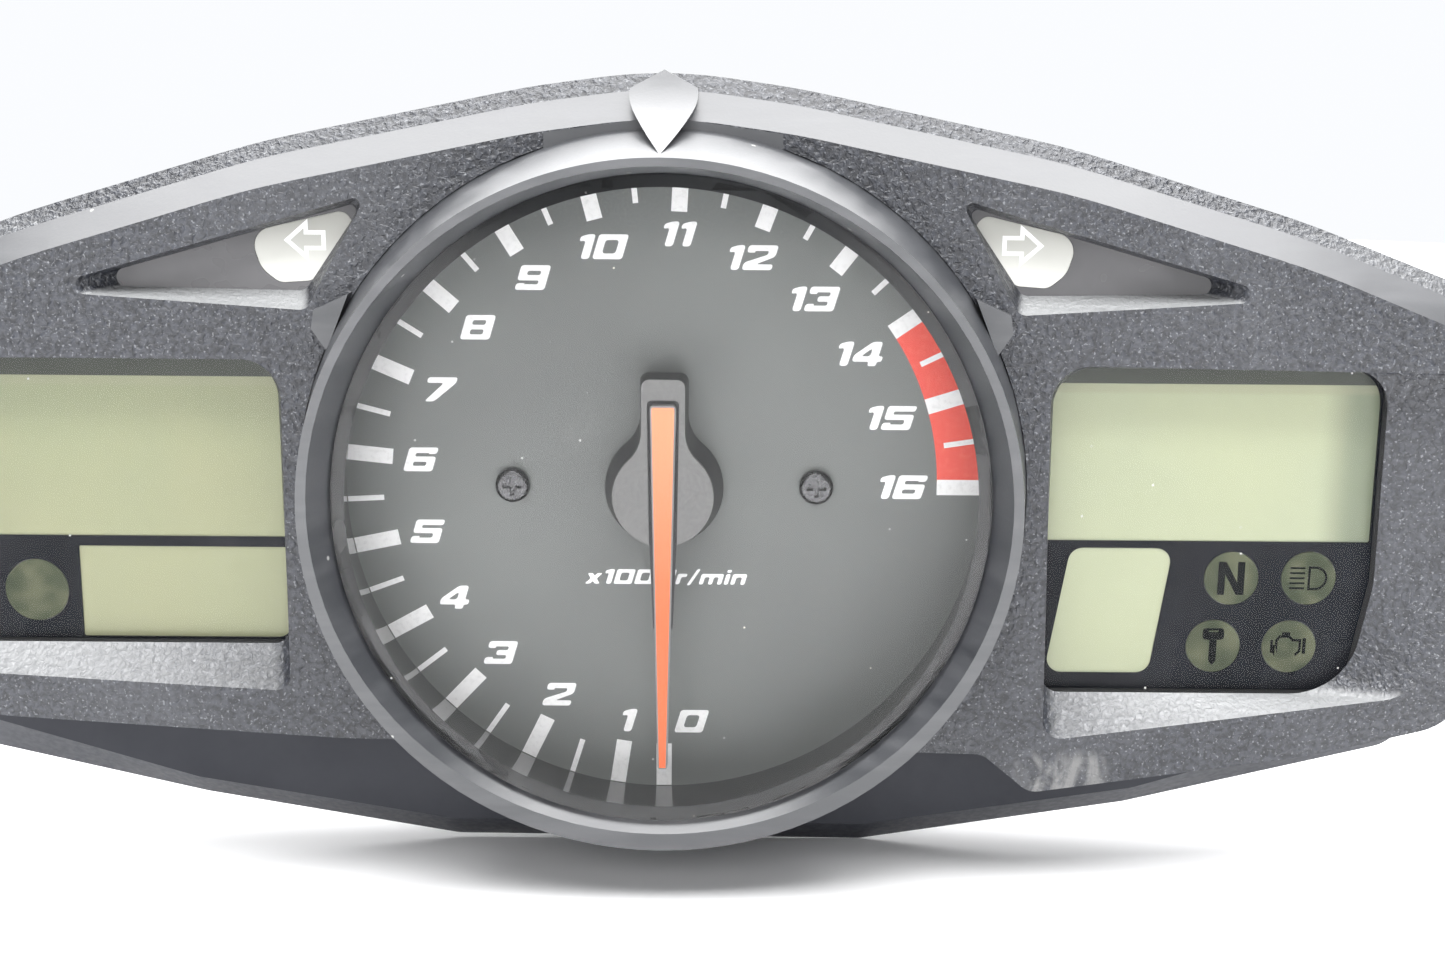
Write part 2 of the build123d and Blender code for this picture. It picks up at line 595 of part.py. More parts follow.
with BuildPart() as light_chassis:
    block(CHASSIS, CHASSIS_W, CHASSIS_W + CHASSIS_T, 1.0)
    disc((0, 0), MOVEMENT_HOLE_R, CHASSIS_W, 0, mode=Mode.SUBTRACT)
    for centre, radius in LAMPS:
        disc(centre, radius + TUBE_WALL, CHASSIS_W, 0, mode=Mode.SUBTRACT)
    for strip in ZEBRAS:
        block(strip, CHASSIS_W, 0, grow=0.1, mode=Mode.SUBTRACT)
    for centre in BACKLIGHT_LEDS:
        disc(centre, 2.6, CHASSIS_W, 0, mode=Mode.SUBTRACT)
    for outline, radii in ((TURN_PATCH, PATCH_RADII), (mirrored(TURN_PATCH), PATCH_RADII[::-1])):
        block(outline, CHASSIS_W, 0, radii, grow=0.5, mode=Mode.SUBTRACT)
    for centre in DIAL_SCREWS:
        disc(centre, 1.3, CHASSIS_W, 0, mode=Mode.SUBTRACT)
    for centre in BOARD_SCREWS:
        disc(centre, 1.3, CHASSIS_W, 0, mode=Mode.SUBTRACT)
    for centre in SWITCHES:
        block(
            rectangle(centre[0] - 4, centre[0] + 4, centre[1] - 4, centre[1] + 4),
            CHASSIS_W,
            0,
            mode=Mode.SUBTRACT,
        )
save(light_chassis, "light_chassis")

with BuildPart() as circuit_board:
    block(BOARD, BOARD_W, BOARD_W + BOARD_T, 1.0)
    disc((0, 0), MOVEMENT_HOLE_R, BOARD_W, 0, mode=Mode.SUBTRACT)
    for centre in BOARD_SCREWS:
        disc(centre, 1.3, BOARD_W, 0, mode=Mode.SUBTRACT)
save(circuit_board, "circuit_board")


def chips(name, places, size_x, size_z, low, high):
    """Small rectangular packages that share one node."""
    with BuildPart() as group:
        for x, z in places:
            block(
                rectangle(x - size_x / 2, x + size_x / 2, z - size_z / 2, z + size_z / 2),
                low,
                high,
            )
    save(group, name)


chips("backlight_leds", BACKLIGHT_LEDS, 3.0, 2.6, LED_FRONT_W, LED_FRONT_W + 1.4)
chips("turn_leds", TURN_LEDS, 3.0, 2.6, LED_FRONT_W, LED_FRONT_W + 1.4)
chips("warning_leds", [centre for centre, _ in LAMPS], 3.0, 2.6, LED_FRONT_W, LED_FRONT_W + 1.4)
chips("processor", [(-38, 4)], 14.0, 14.0, BOARD_W - 1.6, BOARD_W)
chips("driver_chips", [(-37, -18), (36, 10), (36, -16)], 10.0, 7.0, BOARD_W - 1.5, BOARD_W)

with BuildPart() as capacitors:
    for centre in ((-72, 6), (-60, 6), (-72, -12)):
        disc(centre, 4.0, BOARD_W - 8.5, BOARD_W)
save(capacitors, "capacitors")

with BuildPart() as tact_switches:
    for x, z in SWITCHES:
        block(rectangle(x - 3, x + 3, z - 3, z + 3), LED_FRONT_W, LED_FRONT_W + 3.5, 0.5)
        disc((x, z), 1.7, LED_FRONT_W + 3.5, LED_FRONT_W + 4.0)
save(tact_switches, "tact_switches")

with BuildPart() as board_screws:
    for centre in BOARD_SCREWS:
        disc(centre, 2.3, CHASSIS_W + CHASSIS_T, CHASSIS_W + CHASSIS_T + 1.4)
        disc(centre, 1.2, -14.0, CHASSIS_W + CHASSIS_T)
        with BuildSketch(front(CHASSIS_W + CHASSIS_T + 0.7)) as recess:
            with Locations(centre):
                Rectangle(2.4, 0.6)
                Rectangle(0.6, 2.4)
        extrude(recess.sketch, amount=2, mode=Mode.SUBTRACT)
save(board_screws, "board_screws")

# ---------------------------------------------------------------- buttons
for name, z in (("select_button", BUTTON_Z[0]), ("adjust_button", BUTTON_Z[1])):
    with BuildPart() as button:
        disc((BUTTON_X, z), BUTTON_R, 4.0, FACE_W + 2.0)
        fillet(button.faces().sort_by(Axis.Y)[0].edges(), 0.9)
        disc((BUTTON_X, z), BUTTON_R + 1.0, 3.6, 4.6)
        disc((BUTTON_X, z), 1.6, LED_FRONT_W + 4.0 + BUTTON_TRAVEL + 0.3, 4.0)
    save(button, name)

# ---------------------------------------------------------------- rear case
FLANGE_BACK_W = -5.0
BELLY_W = -10.0
BELLY_FRONT = [
    (0, 45.5), (52, 35.8), (88, 27), (106, 14), (108, -18), (102, -33.5), (66, -44.4),
    (28, -50.2), (-30, -49.8), (-66, -43.8), (-101, -33.4), (-109, -18), (-108.5, 14),
    (-88, 27), (-52, 35.8),
]
BELLY_WIDE = [
    (0, 45), (52, 35.4), (88, 26.5), (106, 13.5), (109, -22), (104.6, -39), (66, -48.4),
    (28, -54.4), (-30, -54), (-66, -47.9), (-104, -39.2), (-110, -22), (-108.5, 13.5),
    (-88, 26.5), (-52, 35.4),
]
BELLY_BACK = [
    (0, 41), (50, 31.5), (80, 22), (98, 8), (101, -20), (95, -31), (62, -39.5),
    (26, -45.5), (-28, -45.5), (-62, -39), (-95, -31), (-102, -20), (-101, 8),
    (-80, 22), (-50, 31.5),
]
BELLY_RADII = 5.0
DRUM_R = 28.0
COLLAR_R = 47.6
FLANGE = bezel_outline(0.6, 0.6)
FLANGE_RADII = BEZEL_RADII
POST_W = 1.4 - DIAL_DEPTH
GROMMET_R = 7.0
GROMMET_END_W = -26.0
INSERT_R = 4.2
THREAD_DEPTH = 12.0
HEADER_W = -30.0
MOUNTS = [
    (MOUNT_R * cos(radians(a)), MOUNT_R * sin(radians(a))) for a in MOUNT_ANGLES
]
HEADER_X = 62.0
HEADER_Z = -4.0
HEADER = rectangle(HEADER_X - 18, HEADER_X + 18, HEADER_Z - 6, HEADER_Z + 6)
VENT = (-60.0, -22.0)

with BuildPart() as envelope:
    block(FLANGE, FLANGE_BACK_W, PART_W, FLANGE_RADII)
    taper([(FLANGE_BACK_W, BELLY_FRONT), (BELLY_W, BELLY_WIDE)], BELLY_RADII)
    taper([(BELLY_W, BELLY_WIDE), (BACK_W, BELLY_BACK)], BELLY_RADII)
    turned([(0, -20), (DRUM_R, -20), (DRUM_R, DRUM_W + 2), (DRUM_R - 2, DRUM_W), (0, DRUM_W)])
    for centre in MOUNTS:
        disc(centre, POST_R, POST_W, -15)

with BuildPart() as collar:
    # tube behind the hooded ring, open at the sides for the circuit board
    disc((0, 0), COLLAR_R, BELLY_W, RING_BACK_W)
    disc((0, 0), DIAL_R + 0.4, BELLY_W, RING_BACK_W, mode=Mode.SUBTRACT)
    block(rectangle(-60, 60, -30, 36.2), BELLY_W, CHASSIS_W + CHASSIS_T, mode=Mode.SUBTRACT)

with BuildPart() as bosses:
    # screw tubes and board posts, kept inside the envelope
    for centre in BOSSES:
        disc(centre, 4.8, BACK_W, PART_W)
    for centre in BOARD_SCREWS:
        disc(centre, 3.0, BACK_W, BOARD_W)
    add(envelope.part, mode=Mode.INTERSECT)

SEAL = (-1.0, -2.4)        # insets of the seal's outer and inner edge from the flange
with BuildPart() as case_seal:
    block(FLANGE, PART_W - 1.0, PART_W, FLANGE_RADII, grow=SEAL[0])
    block(FLANGE, PART_W - 1.0, PART_W, FLANGE_RADII, grow=SEAL[1], mode=Mode.SUBTRACT)
    disc((0, 0), RING_BASE_R + 0.8, PART_W - 1.0, PART_W, mode=Mode.SUBTRACT)
save(case_seal, "case_seal")

with BuildPart() as throat:
    # opening from the flange into the belly
    block(FLANGE, FLANGE_BACK_W - WALL, PART_W, FLANGE_RADII, grow=-5.0)
    block(
        BELLY_FRONT,
        FLANGE_BACK_W - WALL,
        PART_W,
        BELLY_RADII,
        grow=-WALL,
        mode=Mode.INTERSECT,
    )

with BuildPart() as rear_case:
    add(envelope.part)
    block(FLANGE, PART_W - 1.4, PART_W, FLANGE_RADII, grow=-5.0, mode=Mode.SUBTRACT)
    add(throat.part, mode=Mode.SUBTRACT)
    taper(
        [(FLANGE_BACK_W - WALL, BELLY_FRONT), (BELLY_W, BELLY_WIDE)],
        BELLY_RADII,
        grow=-WALL,
        mode=Mode.SUBTRACT,
    )
    taper(
        [(BELLY_W, BELLY_WIDE), (BACK_W + WALL, BELLY_BACK)],
        BELLY_RADII,
        grow=-WALL,
        mode=Mode.SUBTRACT,
    )
    disc((0, 0), DRUM_R - WALL, DRUM_W + WALL, -18, mode=Mode.SUBTRACT)
    disc((0, 0), DIAL_R + 0.4, BELLY_W, RING_BACK_W, mode=Mode.SUBTRACT)
    add(collar.part)
    add(bosses.part)
    for centre in MOUNTS:
        disc(centre, GROMMET_R, -DIAL_DEPTH, GROMMET_END_W, mode=Mode.SUBTRACT)
    for centre in BOSSES:
        disc(centre, SHANK_R + 0.15, FLANGE_BACK_W - 1, PART_W, mode=Mode.SUBTRACT)
        disc(centre, 3.2, DRUM_W, FLANGE_BACK_W, mode=Mode.SUBTRACT)
    for centre in BOARD_SCREWS:
        disc(centre, 1.2, -16.0, BOARD_W, mode=Mode.SUBTRACT)
    block(HEADER, BACK_W - 1, BACK_W + WALL + 1, grow=0.3, mode=Mode.SUBTRACT)
    disc(VENT, 3.0, BACK_W - 1, BACK_W + WALL + 1, mode=Mode.SUBTRACT)
    add(case_seal.part, mode=Mode.SUBTRACT)
save(rear_case, "rear_case")

with BuildPart() as case_screws:
    for centre in BOSSES:
        disc(centre, 2.7, FLANGE_BACK_W - 2.2, FLANGE_BACK_W)
        disc(centre, SHANK_R - 0.05, FLANGE_BACK_W, 0.2)
        with BuildSketch(front(FLANGE_BACK_W - 2.2)) as recess:
            with Locations(centre):
                Rectangle(3.0, 0.7)
                Rectangle(0.7, 3.0)
        extrude(recess.sketch, amount=1.2, mode=Mode.SUBTRACT)
save(case_screws, "case_screws")

with BuildPart() as mount_grommets:
    for centre in MOUNTS:
        disc(centre, GROMMET_R, POST_W, GROMMET_END_W)
        disc(centre, POST_R - 0.3, POST_W - 1.0, POST_W)
        disc(centre, INSERT_R, POST_W - 1.0, GROMMET_END_W, mode=Mode.SUBTRACT)
save(mount_grommets, "mount_grommets")

with BuildPart() as mount_inserts:
    for centre in MOUNTS:
        disc(centre, INSERT_R, -DIAL_DEPTH, GROMMET_END_W)
        disc(centre, THREAD_R, -DIAL_DEPTH, THREAD_DEPTH - DIAL_DEPTH, mode=Mode.SUBTRACT)
save(mount_inserts, "mount_inserts")

# ---------------------------------------------------------------- connector and breather
SOCKET_DEPTH = 14.0
with BuildPart() as connector_header:
    block(HEADER, HEADER_W, BOARD_W, 1.2)
    block(HEADER, HEADER_W, HEADER_W + SOCKET_DEPTH, 0, grow=-1.6, mode=Mode.SUBTRACT)
save(connector_header, "connector_header")

with BuildPart() as connector_pins:
    for column in range(8):
        for row in (-1, 1):
            x = HEADER_X + (column - 3.5) * 3.6
            z = HEADER_Z + row * 2.0
            block(
                rectangle(x - 0.5, x + 0.5, z - 0.3, z + 0.3),
                HEADER_W + SOCKET_DEPTH - 8.0,
                HEADER_W + SOCKET_DEPTH,
            )
save(connector_pins, "connector_pins")

with BuildPart() as breather:
    disc(VENT, 3.0, BACK_W, BACK_W + WALL)
    disc(VENT, 5.0, BACK_W - 1.4, BACK_W)
save(breather, "breather")
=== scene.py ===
"""Looks of the motorcycle instrument cluster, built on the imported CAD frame."""

import math

import bpy
from mathutils import Matrix, Vector


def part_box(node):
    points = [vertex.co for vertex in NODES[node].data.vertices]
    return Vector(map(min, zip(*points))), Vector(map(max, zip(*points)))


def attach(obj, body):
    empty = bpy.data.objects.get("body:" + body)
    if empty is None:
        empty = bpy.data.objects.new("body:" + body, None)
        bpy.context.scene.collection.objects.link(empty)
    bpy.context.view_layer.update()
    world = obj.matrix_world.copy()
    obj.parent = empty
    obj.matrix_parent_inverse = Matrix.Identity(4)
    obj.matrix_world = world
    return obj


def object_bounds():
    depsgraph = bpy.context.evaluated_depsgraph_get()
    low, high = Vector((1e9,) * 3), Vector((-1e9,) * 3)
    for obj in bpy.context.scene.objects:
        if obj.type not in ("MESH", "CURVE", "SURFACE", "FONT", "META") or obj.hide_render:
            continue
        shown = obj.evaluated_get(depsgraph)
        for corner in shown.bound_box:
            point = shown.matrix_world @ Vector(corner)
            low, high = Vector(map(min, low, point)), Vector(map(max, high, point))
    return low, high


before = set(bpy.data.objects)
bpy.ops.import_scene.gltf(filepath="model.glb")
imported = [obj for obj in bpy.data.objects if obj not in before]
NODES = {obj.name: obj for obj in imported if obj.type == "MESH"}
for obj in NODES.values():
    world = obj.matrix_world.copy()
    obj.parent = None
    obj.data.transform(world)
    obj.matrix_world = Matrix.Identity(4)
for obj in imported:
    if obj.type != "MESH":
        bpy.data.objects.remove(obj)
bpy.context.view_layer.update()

MM = 0.001


def front_of(node):
    """The y of a CAD node's face nearest to the rider."""
    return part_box(node)[0][1]


DIAL_Y = front_of("dial_plate")
PRINT_LIFT = 0.05 * MM      # printed marks stand this far off what they are printed on


# ---------------------------------------------------------------- materials
MIX_A, MIX_B, MIX_OUT = 6, 7, 2     # the Mix node's sockets for colours


class Shader:
    """A Principled material and the few node calls that the materials below share."""

    def __init__(self, name, color=(0.5, 0.5, 0.5), rough=0.5, **values):
        self.mat = bpy.data.materials.new(name)
        self.mat.use_nodes = True
        self.tree = self.mat.node_tree
        self.bsdf = self.tree.nodes["Principled BSDF"]
        self.bsdf.inputs["Base Color"].default_value = (*color, 1)
        self.bsdf.inputs["Roughness"].default_value = rough
        for key, value in values.items():
            self.bsdf.inputs[key.replace("_", " ")].default_value = value
        self.texcoord = self.tree.nodes.new("ShaderNodeTexCoord")
        self.coords = self.texcoord.outputs["Object"]

    def link(self, value, socket):
        """Feeds a socket from another socket, a colour or a number."""
        if isinstance(value, bpy.types.NodeSocket):
            self.tree.links.new(value, socket)
        elif isinstance(value, (tuple, list)) and len(value) == 3 and socket.type == "RGBA":
            socket.default_value = (*value, 1)
        else:
            socket.default_value = value

    def set(self, name, value):
        """Feeds one of the Principled node's inputs."""
        self.link(value, self.bsdf.inputs[name])

    def noise(self, scale, detail=3.0, rough=0.5, stretch=None, distortion=0.0):
        """Fractal noise in object space."""
        node = self.tree.nodes.new("ShaderNodeTexNoise")
        node.inputs["Scale"].default_value = scale
        node.inputs["Detail"].default_value = detail
        node.inputs["Roughness"].default_value = rough
        node.inputs["Distortion"].default_value = distortion
        self.link(self.stretched(stretch), node.inputs["Vector"])
        return node.outputs["Fac"]

    def stretched(self, stretch):
        """Object coordinates, scaled along each axis."""
        if stretch is None:
            return self.coords
        node = self.tree.nodes.new("ShaderNodeMapping")
        node.inputs["Scale"].default_value = stretch
        self.link(self.coords, node.inputs["Vector"])
        return node.outputs["Vector"]

    def cells(self, scale, feature="F1", output="Distance"):
        """Voronoi cells in object space."""
        node = self.tree.nodes.new("ShaderNodeTexVoronoi")
        node.feature = feature
        node.inputs["Scale"].default_value = scale
        self.link(self.coords, node.inputs["Vector"])
        return node.outputs[output]

    def axis(self, name):
        """One of the object coordinates, in metres."""
        node = self.tree.nodes.new("ShaderNodeSeparateXYZ")
        self.link(self.coords, node.inputs[0])
        return node.outputs[name]

    def facing(self, name):
        """Component of the surface's own normal, which turns with the piece."""
        node = self.tree.nodes.new("ShaderNodeSeparateXYZ")
        self.link(self.texcoord.outputs["Normal"], node.inputs[0])
        return node.outputs[name]

    def math(self, operation, a, b=0.0, clamp=False):
        """One step of arithmetic on sockets or numbers."""
        node = self.tree.nodes.new("ShaderNodeMath")
        node.operation = operation
        node.use_clamp = clamp
        self.link(a, node.inputs[0])
        self.link(b, node.inputs[1])
        return node.outputs[0]

    def span(self, value, low, high, to_low=0.0, to_high=1.0):
        """value from low to high, mapped to to_low..to_high and clamped."""
        node = self.tree.nodes.new("ShaderNodeMapRange")
        node.interpolation_type = "SMOOTHSTEP"
        self.link(value, node.inputs["Value"])
        for key, number in (
            ("From Min", low), ("From Max", high), ("To Min", to_low), ("To Max", to_high)
        ):
            node.inputs[key].default_value = number
        return node.outputs["Result"]

    def mix(self, factor, a, b):
        """Colour a where the factor is 0, and b where it is 1."""
        node = self.tree.nodes.new("ShaderNodeMix")
        node.data_type = "RGBA"
        self.link(factor, node.inputs["Factor"])
        self.link(a, node.inputs[MIX_A])
        self.link(b, node.inputs[MIX_B])
        return node.outputs[MIX_OUT]

    def bump(self, height, strength, distance):
        """Relief from a height, its distance in metres."""
        node = self.tree.nodes.new("ShaderNodeBump")
        node.inputs["Strength"].default_value = strength
        node.inputs["Distance"].default_value = distance
        self.link(height, node.inputs["Height"])
        self.set("Normal", node.outputs["Normal"])

    def specks(self, scale, size, keep):
        """Factor that is 1 on sparse small dots, such as dust."""
        near = self.span(self.cells(scale), size * 0.6, size, 1.0, 0.0)
        chosen = self.red_of(self.cells(scale, output="Color"))
        return self.math("MULTIPLY", near, self.math("GREATER_THAN", chosen, 1.0 - keep))

    def red_of(self, color):
        """Red channel of a colour."""
        node = self.tree.nodes.new("ShaderNodeSeparateColor")
        self.link(color, node.inputs[0])
        return node.outputs[0]


LIT_LEDGE_Z = (30 * MM, 38 * MM)            # painted light on upward faces fades out between these heights
TORN_X = 53.5 * MM                      # middle of the whitened patch at the bezel's lower edge
TORN_REACH = (4 * MM, 7 * MM)           # it fades out between these distances to either side
TORN_Z = (-36.2 * MM, -33.6 * MM)       # and between these heights


def grained_plastic():
    """Blue-black plastic with a coarse moulded pebble grain, scattered bright flecks painted as
    glints on it, and painted light on its upward-facing ledges.
    """
    s = Shader("bezel_grain", rough=0.45, Specular_IOR_Level=0.7)
    grain = s.noise(1350, detail=2.5, rough=0.55, distortion=0.6)
    pebbles = s.cells(1150, feature="SMOOTH_F1")
    height = s.math("ADD", grain, s.math("MULTIPLY", pebbles, -0.5))
    # painted glints: small bright flecks standing in for light catching the grain
    glint_fleck = s.span(s.noise(2600, detail=1.5), 0.60, 0.74)
    base = s.mix(s.span(grain, 0.35, 0.68), (0.009, 0.010, 0.014), (0.034, 0.037, 0.047))
    wear = s.span(s.noise(38, detail=4), 0.45, 0.8, 0.0, 0.35)
    base = s.mix(wear, base, (0.070, 0.073, 0.082))
    base = s.mix(s.math("MULTIPLY", glint_fleck, 0.45), base, (0.26, 0.27, 0.29))
    below_rim = s.span(s.axis("Z"), *LIT_LEDGE_Z, 1.0, 0.0)
    # painted light: faces turned upwards below the rim are lightened, as if lit from above
    ledge_light = s.math("MULTIPLY", s.span(s.facing("Z"), 0.50, 0.92), below_rim)
    base = s.mix(ledge_light, base, (0.27, 0.275, 0.28))
    across = s.math("ABSOLUTE", s.math("SUBTRACT", s.axis("X"), TORN_X))
    torn = s.math("MULTIPLY", s.span(across, *TORN_REACH, 1.0, 0.0),
                  s.span(s.axis("Z"), *TORN_Z, 1.0, 0.0))
    smears = s.span(s.noise(300, detail=5, stretch=(1, 1, 0.35), distortion=1.2), 0.42, 0.62)
    s.set("Base Color", s.mix(s.math("MULTIPLY", torn, smears), base, (0.15, 0.15, 0.15)))
    s.set("Roughness", s.span(grain, 0.3, 0.75, 0.50, 0.34))
    s.bump(height, 0.9, 0.42 * MM)
    return s.mat


def satin_trim():
    """Smooth black trim with a fine satin grain, faint streaks and rubbed spots."""
    s = Shader("trim_satin", rough=0.36, Specular_IOR_Level=1.0)
    fine = s.noise(2400, detail=3)
    streak = s.noise(60, detail=4, stretch=(1, 1, 6))
    base = s.mix(s.span(streak, 0.35, 0.75), (0.030, 0.032, 0.037), (0.058, 0.060, 0.066))
    s.set("Base Color", s.mix(s.specks(260, 0.11, 0.12), base, (0.45, 0.45, 0.43)))
    satin = s.span(streak, 0.3, 0.8, 0.34, 0.46)
    s.set("Roughness", s.math("ADD", satin, s.math("MULTIPLY", fine, 0.06)))
    s.bump(fine, 0.22, 0.05 * MM)
    return s.mat


def moulded(name, dark, light, rough=0.5, scale=900, strength=0.25, **values):
    """Plain moulded plastic, rubber or resin with a fine surface and slow colour drift."""
    s = Shader(name, rough=rough, **values)
    fine = s.noise(scale, detail=4)
    drift = s.noise(scale / 22, detail=3)
    s.set("Base Color", s.mix(s.span(drift, 0.3, 0.7), dark, light))
    s.set("Roughness", s.span(fine, 0.2, 0.8, rough - 0.07, rough + 0.07))
    s.bump(fine, strength, 0.06 * MM)
    return s.mat


def metal(name, dark, light, rough=0.3):
    """Turned or plated metal with fine streaks along the axis."""
    s = Shader(name, rough=rough, Metallic=1.0)
    streak = s.noise(1600, detail=3, stretch=(1, 9, 1))
    s.set("Base Color", s.mix(streak, dark, light))
    s.set("Roughness", s.span(streak, 0.2, 0.8, rough - 0.1, rough + 0.12))
    s.bump(streak, 0.12, 0.03 * MM)
    return s.mat


def dial_face():
    """Satin grey-black dial print with haze, scratches and dust."""
    s = Shader("dial_satin", rough=0.55)
    fine = s.noise(3200, detail=2)
    haze = s.noise(26, detail=3)
    scratch = s.span(s.noise(22, detail=6, rough=0.7, stretch=(1, 1, 14), distortion=0.4),
                     0.66, 0.78, 0.0, 0.10)
    base = s.mix(s.span(haze, 0.3, 0.75), (0.125, 0.133, 0.129), (0.158, 0.168, 0.163))
    base = s.mix(s.span(fine, 0.35, 0.75, 0.0, 0.22), base, (0.25, 0.255, 0.25))
    base = s.mix(scratch, base, (0.30, 0.30, 0.30))
    s.set("Base Color", s.mix(s.specks(170, 0.030, 0.30), base, (0.70, 0.68, 0.58)))
    s.bump(fine, 0.05, 0.02 * MM)
    return s.mat


def printed(name, color, worn, **values):
    """Screen-printed ink: nearly even, with a little mottling."""
    s = Shader(name, rough=0.5, **values)
    mottle = s.noise(1500, detail=3)
    s.set("Base Color", s.mix(s.span(mottle, 0.45, 0.8), color, worn))
    s.bump(mottle, 0.08, 0.02 * MM)
    return s.mat


def gloss_black():
    """Glossy black shroud with faint dust."""
    s = Shader("shroud_gloss", rough=0.09)
    dust = s.specks(420, 0.06, 0.25)
    drift = s.noise(45, detail=3)
    base = s.mix(s.span(drift, 0.3, 0.8), (0.012, 0.013, 0.014), (0.026, 0.027, 0.029))
    s.set("Base Color", s.mix(dust, base, (0.42, 0.40, 0.34)))
    s.set("Roughness", s.span(drift, 0.3, 0.8, 0.07, 0.14))
    return s.mat


def clear_cover(name, haze, ior):
    """Thin clear cover: what is behind it shows straight through, under a polished reflection."""
    s = Shader(name, color=(0.8, 0.8, 0.8), rough=0.06)
    nodes, links = s.tree.nodes, s.tree.links
    through = nodes.new("ShaderNodeBsdfTransparent")
    through.inputs["Color"].default_value = (1, 1, 1, 1)
    gloss = nodes.new("ShaderNodeBsdfGlossy")
    gloss.inputs["Roughness"].default_value = 0.05
    veil = nodes.new("ShaderNodeBsdfDiffuse")
    veil.inputs["Color"].default_value = (0.85, 0.85, 0.83, 1)
    fresnel = nodes.new("ShaderNodeFresnel")
    fresnel.inputs["IOR"].default_value = ior
    scuffs = s.span(s.noise(75, detail=7, rough=0.75), 0.56, 0.80, haze * 0.5, haze * 7)
    dust = s.math("MULTIPLY", s.specks(230, 0.045, 0.35), 0.55)
    veiled = nodes.new("ShaderNodeMixShader")
    s.link(s.math("ADD", scuffs, dust, clamp=True), veiled.inputs[0])
    links.new(through.outputs[0], veiled.inputs[1])
    links.new(veil.outputs[0], veiled.inputs[2])
    shown = nodes.new("ShaderNodeMixShader")
    links.new(fresnel.outputs[0], shown.inputs[0])
    links.new(veiled.outputs[0], shown.inputs[1])
    links.new(gloss.outputs[0], shown.inputs[2])
    links.new(shown.outputs[0], nodes["Material Output"].inputs["Surface"])
    return s.mat


LCD_WARM_Z = -14 * MM       # the warm tint is strongest from here down


def lcd_face(name, shade_from, pale, warm, side=None):
    """Unlit reflective LCD: pale green, warmer lower down, with painted shade at the top: a dark
    strip and a softer darkening just below it, the shadow and reflection of the window's top wall;
    and softly darker towards one side."""
    s = Shader(name, rough=0.32)
    height = s.axis("Z")
    drift = s.noise(34, detail=3)
    base = s.mix(s.span(drift, 0.3, 0.7), pale, warm)
    base = s.mix(s.span(height, LCD_WARM_Z, shade_from, 0.55, 0.0), base, warm)
    if side:
        base = s.mix(s.span(s.axis("X"), side[0], side[1], 0.0, 0.75), base, (0.10, 0.125, 0.08))
    # painted shade: a soft fringe under a dark strip, the shadow and reflection of the window's
    # top wall
    soft = s.span(height, shade_from - 1.6 * MM, shade_from - 0.9 * MM, 0.0, 0.42)
    base = s.mix(soft, base, (0.27, 0.27, 0.18))
    shade_strip = s.span(height, shade_from - 0.06 * MM, shade_from + 0.06 * MM)
    s.set("Base Color", s.mix(shade_strip, base, (0.026, 0.032, 0.022)))
    s.bump(s.noise(2600, detail=2), 0.06, 0.02 * MM)
    return s.mat


def smoked_mask(name, dark, light, gloss):
    """Smoked film with faint cloudy depth and fine scratches."""
    s = Shader(name, rough=0.22, Specular_IOR_Level=gloss)
    cloud = s.noise(48, detail=4)
    scratch = s.span(s.noise(420, detail=6, rough=0.8, stretch=(1, 1, 4)), 0.66, 0.80, 0.0, 0.20)
    base = s.mix(s.span(cloud, 0.3, 0.75), dark, light)
    s.set("Base Color", s.mix(scratch, base, (0.16, 0.16, 0.16)))
    s.set("Roughness", s.span(cloud, 0.3, 0.8, 0.18, 0.34))
    return s.mat


def lamp_filter():
    """Unlit greenish warning-lamp window, unevenly bright over its tube."""
    s = Shader("lamp_filter", rough=0.3, Specular_IOR_Level=0.08)
    uneven = s.noise(190, detail=2)
    s.set("Base Color", s.mix(s.span(uneven, 0.35, 0.65), (0.045, 0.056, 0.034),
                              (0.100, 0.108, 0.068)))
    s.bump(s.noise(2200), 0.08, 0.02 * MM)
    return s.mat


def milky_diffuser():
    """Milky lamp diffuser with painted light: brighter towards its lower edge, shaded towards its
    top.
    """
    s = Shader("diffuser_milky", rough=0.38)
    low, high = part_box("right_turn_diffuser")
    # painted light: brighter low down, painted shade towards the top
    painted_light = s.span(s.axis("Z"), low[2], high[2], 1.0, 0.0)
    cloud = s.noise(120, detail=3)
    base = s.mix(painted_light, (0.38, 0.38, 0.35), (0.68, 0.68, 0.64))
    s.set("Base Color", s.mix(s.span(cloud, 0.4, 0.8, 0.0, 0.2), base, (0.44, 0.44, 0.41)))
    s.bump(s.noise(1800), 0.08, 0.02 * MM)
    return s.mat


def needle_paint():
    """Orange-red fluorescent paint on a clear-grey blade, paler towards the tail."""
    s = Shader("needle_orange", rough=0.42)
    low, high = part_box("pointer_blade")
    along = s.span(s.axis("Z"), low[2] * 0.5, high[2])
    mottle = s.noise(1900, detail=3)
    base = s.mix(along, (0.86, 0.135, 0.024), (0.90, 0.30, 0.145))
    base = s.mix(s.span(mottle, 0.5, 0.8, 0.0, 0.25), base, (0.90, 0.24, 0.09))
    painted = s.span(s.facing("Y"), -0.95, -0.85, 1.0, 0.0)
    s.set("Base Color", s.mix(painted, (0.34, 0.33, 0.33), base))
    s.bump(mottle, 0.15, 0.03 * MM)
    return s.mat


